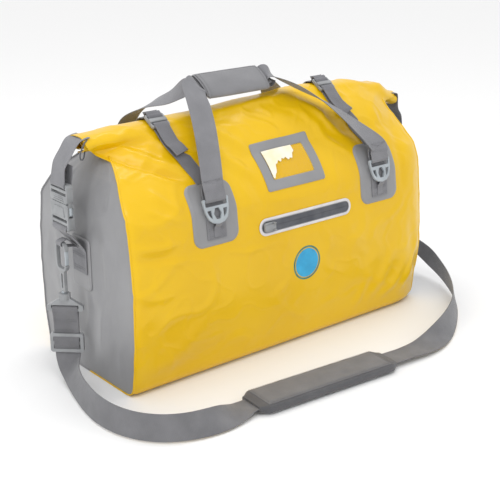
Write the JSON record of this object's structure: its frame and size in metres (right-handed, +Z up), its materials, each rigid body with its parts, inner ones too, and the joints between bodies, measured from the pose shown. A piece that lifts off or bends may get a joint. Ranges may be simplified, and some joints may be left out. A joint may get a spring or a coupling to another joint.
{
  "type": "duffel bag",
  "caption": "Waterproof roll-top duffel bag with carry handles in a padded grip, side-release buckles, snap hooks and a padded shoulder strap.",
  "frame": {"origin": "on the floor, under the middle of the bag's base", "axes": "+X along the bag to its right-hand end, +Y to the back, +Z up; the zipped pocket and the window face -Y"},
  "size_m": [0.778, 0.4349, 0.43],
  "materials": {
    "skin": "glossy coated",
    "end_skin": "satin coated",
    "webbing": "matt woven",
    "pad_cloth": "matt woven",
    "hardware": "satin moulded",
    "ring": "satin moulded",
    "zip_trim": "welded film",
    "zip_tape": "matt coated",
    "film": "clear film",
    "board": "matt",
    "print": "printed"
  },
  "bodies": {
    "bag": {"front_panel": "skin", "back_panel": "skin", "base_panel": "skin", "end_panel_left": "end_skin", "end_panel_right": "end_skin", "base_board": "board", "roll_top": "skin", "roll_batten_upper": "board", "roll_batten_lower": "board", "patch_front_left": "end_skin", "ring_tab_front_left": "webbing", "patch_front_right": "end_skin", "ring_tab_front_right": "webbing", "handle_front": "webbing", "patch_back_left": "end_skin", "ring_tab_back_left": "webbing", "patch_back_right": "end_skin", "ring_tab_back_right": "webbing", "handle_back": "webbing", "grip_wrap": "pad_cloth", "cinch_strap_left": "webbing", "cinch_tail_left": "webbing", "cinch_buckle_left": "hardware", "cinch_strap_right": "webbing", "cinch_tail_right": "webbing", "cinch_buckle_right": "hardware", "window_pane": "film", "window_frame": "end_skin", "zip_tape": "zip_tape", "zip_surround": "zip_trim", "front_badge": "print", "end_patch_left": "end_skin", "buckle_socket_left": "hardware", "roll_strap_left": "webbing", "end_strap_left": "webbing", "hook_loop_left": "webbing", "hook_head_left": "hardware", "end_patch_right": "end_skin", "buckle_socket_right": "hardware", "roll_strap_right": "webbing", "end_strap_right": "webbing", "hook_loop_right": "webbing", "hook_head_right": "hardware", "shoulder_strap": "webbing"},
    "zip_slider": {"zip_slider": "hardware"},
    "zip_pull": {"zip_pull": "hardware"},
    "grip_flap": {"grip_flap": "pad_cloth"},
    "shoulder_pad": {"shoulder_pad": "pad_cloth"},
    "strap_adjuster": {"strap_adjuster": "hardware"},
    "handle_ring_front_left": {"handle_ring_front_left": "ring"},
    "handle_ring_front_right": {"handle_ring_front_right": "ring"},
    "handle_ring_back_left": {"handle_ring_back_left": "ring"},
    "handle_ring_back_right": {"handle_ring_back_right": "ring"},
    "buckle_plug_left": {"buckle_plug_left": "hardware"},
    "snap_hook_left": {"snap_hook_left": "hardware"},
    "hook_gate_left": {"hook_gate_left": "ring"},
    "buckle_plug_right": {"buckle_plug_right": "hardware"},
    "snap_hook_right": {"snap_hook_right": "hardware"},
    "hook_gate_right": {"hook_gate_right": "ring"}
  },
  "joints": [
    {"name": "zip_slide", "type": "slide", "parent": "bag", "child": "zip_slider", "axis": [1, 0, 0], "range_m": [0, 0.15]},
    {"name": "zip_pull_swing", "type": "hinge", "parent": "zip_slider", "child": "zip_pull", "pos_m": [-0.0625, -0.13442, 0.21355], "axis": [0, 0.1182, 0.993], "range_deg": [0, 150]},
    {"name": "ring_swing_front_left", "type": "hinge", "parent": "bag", "child": "handle_ring_front_left", "pos_m": [-0.168, -0.13371, 0.24015], "axis": [1, 0, 0], "range_deg": [0, 35], "deforming": ["handle_front"]},
    {"name": "ring_swing_front_right", "type": "hinge", "parent": "bag", "child": "handle_ring_front_right", "pos_m": [0.168, -0.13328, 0.24054], "axis": [1, 0, 0], "range_deg": [0, 35], "deforming": ["handle_front"]},
    {"name": "ring_swing_back_left", "type": "hinge", "parent": "bag", "child": "handle_ring_back_left", "pos_m": [-0.168, 0.13371, 0.24015], "axis": [-1, 0, 0], "range_deg": [0, 35], "deforming": ["handle_back"]},
    {"name": "ring_swing_back_right", "type": "hinge", "parent": "bag", "child": "handle_ring_back_right", "pos_m": [0.168, 0.13328, 0.24054], "axis": [-1, 0, 0], "range_deg": [0, 35], "deforming": ["handle_back"]},
    {"name": "grip_flap_open", "type": "hinge", "parent": "bag", "child": "grip_flap", "pos_m": [-0.04, 0.01292, 0.42766], "axis": [-1, 0, 0], "range_deg": [0, 120]},
    {"name": "buckle_release_left", "type": "slide", "parent": "bag", "child": "buckle_plug_left", "axis": [0, 0, 1], "range_m": [0, 0.026], "deforming": ["roll_strap_left"]},
    {"name": "hook_swivel_left", "type": "hinge", "parent": "bag", "child": "snap_hook_left", "pos_m": [-0.352, 0, 0.138], "axis": [0, 0, 1], "range_deg": [-25, 25], "deforming": ["hook_loop_left"]},
    {"name": "hook_gate_open_left", "type": "hinge", "parent": "snap_hook_left", "child": "hook_gate_left", "pos_m": [-0.352, -0.0125, 0.1856], "axis": [-1, 0, 0], "range_deg": [0, 25], "stiffness_Nm_per_rad": 0.02, "springref_deg": -11.46},
    {"name": "buckle_release_right", "type": "slide", "parent": "bag", "child": "buckle_plug_right", "axis": [0, 0, 1], "range_m": [0, 0.026], "deforming": ["roll_strap_right"]},
    {"name": "hook_swivel_right", "type": "hinge", "parent": "bag", "child": "snap_hook_right", "pos_m": [0.352, 0, 0.138], "axis": [0, 0, 1], "range_deg": [-25, 25], "deforming": ["hook_loop_right"]},
    {"name": "hook_gate_open_right", "type": "hinge", "parent": "snap_hook_right", "child": "hook_gate_right", "pos_m": [0.352, 0.0125, 0.1856], "axis": [1, 0, 0], "range_deg": [0, 25], "stiffness_Nm_per_rad": 0.02, "springref_deg": -11.46},
    {"name": "pad_slide", "type": "slide", "parent": "bag", "child": "shoulder_pad", "axis": [0.9971, -0.0767, 0], "range_m": [0, 0.02]},
    {"name": "adjuster_slide", "type": "slide", "parent": "bag", "child": "strap_adjuster", "axis": [0, 0, 1], "range_m": [0, 0.02]}
  ]
}
